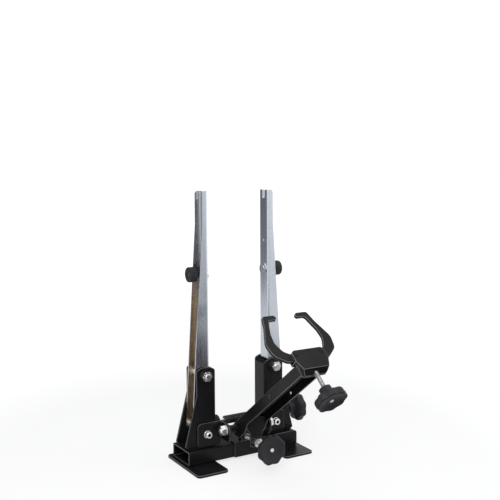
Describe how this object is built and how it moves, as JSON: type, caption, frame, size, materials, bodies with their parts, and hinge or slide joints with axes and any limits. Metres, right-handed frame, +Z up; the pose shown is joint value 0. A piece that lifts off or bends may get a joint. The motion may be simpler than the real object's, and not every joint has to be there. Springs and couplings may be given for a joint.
{
  "type": "bicycle wheel truing stand",
  "caption": "Bench truing stand: two chromed uprights take the hub axle, and a screw-set caliper arm brings a pair of jaws to the rim.",
  "frame": {"origin": "middle of the hub axle, half way between the two axle slots", "axes": "+X along the hub axle towards the width knob, +Y away from the user, +Z up"},
  "size_m": [0.2875, 0.3934, 0.533],
  "materials": {
    "black_paint": "smooth satin black powder coat",
    "black_plastic": "fine-grained black moulded plastic",
    "chrome_plate": "satin chrome plate",
    "zinc_plate": "bright zinc plate",
    "plain_steel": "plain turned steel",
    "black_spring": "black spring wire"
  },
  "bodies": {
    "base": {"base_tube": "black_paint", "foot_plate_left": "black_paint", "foot_plate_right": "black_paint", "saddle_plate": "black_paint", "stop_lug": "black_paint", "bracket_left": "black_paint", "bracket_right": "black_paint", "rod_bushes": "black_paint", "caliper_mount_left": "black_paint", "caliper_mount_right": "black_paint", "mount_screws": "zinc_plate", "mount_washers": "zinc_plate", "pivot_bolts": "zinc_plate", "pivot_nuts": "zinc_plate", "pivot_washers": "black_paint", "thrust_washers": "plain_steel", "pivot_spacers": "zinc_plate", "arm_shaft": "zinc_plate", "arm_shaft_nut": "zinc_plate", "arm_shaft_washers": "zinc_plate", "arm_spacers": "black_paint"},
    "upright_left": {"upright_left": "chrome_plate", "adapter_pin_left": "chrome_plate", "adapter_nut_left": "black_plastic"},
    "upright_right": {"upright_right": "chrome_plate", "adapter_pin_right": "chrome_plate", "adapter_nut_right": "black_plastic"},
    "trunnion_left": {"trunnion_left": "plain_steel"},
    "trunnion_right": {"trunnion_right": "plain_steel"},
    "width_screw": {"width_rod": "zinc_plate", "rod_nuts": "zinc_plate", "rod_spring": "black_spring", "width_knob": "black_plastic"},
    "arm": {"caliper_arm": "black_paint", "arm_tail": "black_paint", "tail_nut": "zinc_plate", "head_back": "black_paint", "head_cover": "black_paint", "jaw_pins": "black_paint", "jaw_washers": "plain_steel"},
    "height_pad": {"height_pad": "plain_steel"},
    "height_screw": {"height_screw": "zinc_plate", "height_knob": "black_plastic"},
    "jaw_left": {"jaw_left": "black_paint"},
    "jaw_right": {"jaw_right": "black_paint"},
    "jaw_spreader": {"jaw_spreader": "plain_steel"},
    "jaw_screw": {"jaw_screw": "zinc_plate", "jaw_knob": "black_plastic"}
  },
  "joints": [
    {"name": "width_knob_turn", "type": "hinge", "parent": "base", "child": "width_screw", "pos_m": [0, 0, -0.449], "axis": [1, 0, 0], "range_deg": [-1250, 1250]},
    {"name": "upright_right_tilt", "type": "hinge", "parent": "base", "child": "upright_right", "pos_m": [0.0795, 0, -0.346], "axis": [0, 1, 0], "range_deg": [-2.9, 2.9]},
    {"name": "upright_left_tilt", "type": "hinge", "parent": "base", "child": "upright_left", "pos_m": [-0.0795, 0, -0.346], "axis": [0, 1, 0], "range_deg": [-2.9, 2.9]},
    {"name": "trunnion_right_turn", "type": "hinge", "parent": "upright_right", "child": "trunnion_right", "pos_m": [0.093, 0, -0.449], "axis": [0, 1, 0], "range_deg": [-2.9, 2.9]},
    {"name": "trunnion_left_turn", "type": "hinge", "parent": "upright_left", "child": "trunnion_left", "pos_m": [-0.093, 0, -0.449], "axis": [0, 1, 0], "range_deg": [-2.9, 2.9]},
    {"name": "arm_swing", "type": "hinge", "parent": "base", "child": "arm", "pos_m": [0, -0.044, -0.454], "axis": [1, 0, 0], "range_deg": [-30, 8]},
    {"name": "height_screw_travel", "type": "slide", "parent": "arm", "child": "height_pad", "axis": [0, 1, 0], "range_m": [-0.0029, 0.0108]},
    {"name": "height_knob_turn", "type": "hinge", "parent": "height_pad", "child": "height_screw", "pos_m": [0, -0.1, -0.4745], "axis": [0, 1, 0], "range_deg": [-824, 3090]},
    {"name": "jaw_right_swing", "type": "hinge", "parent": "arm", "child": "jaw_right", "pos_m": [0.027, -0.24977, -0.27002], "axis": [0, -0.6428, 0.766], "range_deg": [-12, 12.5]},
    {"name": "jaw_left_swing", "type": "hinge", "parent": "arm", "child": "jaw_left", "pos_m": [-0.027, -0.24977, -0.27002], "axis": [0, -0.6428, 0.766], "range_deg": [-12.5, 12]},
    {"name": "jaw_spreader_travel", "type": "slide", "parent": "arm", "child": "jaw_spreader", "axis": [0, 0.766, 0.6428], "range_m": [-0.0043, 0.0041]},
    {"name": "jaw_knob_turn", "type": "hinge", "parent": "jaw_spreader", "child": "jaw_screw", "pos_m": [0, -0.2896, -0.30345], "axis": [0, 0.766, 0.6428], "range_deg": [-1225, 1176]}
  ],
  "couplings": [
    {"joint": "upright_right_tilt", "follows": "width_knob_turn", "ratio": 0.0023178},
    {"joint": "upright_left_tilt", "follows": "width_knob_turn", "ratio": -0.0023178},
    {"joint": "trunnion_right_turn", "follows": "width_knob_turn", "ratio": -0.0023178},
    {"joint": "trunnion_left_turn", "follows": "width_knob_turn", "ratio": 0.0023178},
    {"joint": "arm_swing", "follows": "height_knob_turn", "ratio": -0.0097046},
    {"joint": "height_screw_travel", "follows": "height_knob_turn", "m_per_rad": 0.00019894},
    {"joint": "jaw_right_swing", "follows": "jaw_knob_turn", "ratio": -0.010202},
    {"joint": "jaw_left_swing", "follows": "jaw_knob_turn", "ratio": 0.010202},
    {"joint": "jaw_spreader_travel", "follows": "jaw_knob_turn", "m_per_rad": 0.00019894}
  ]
}
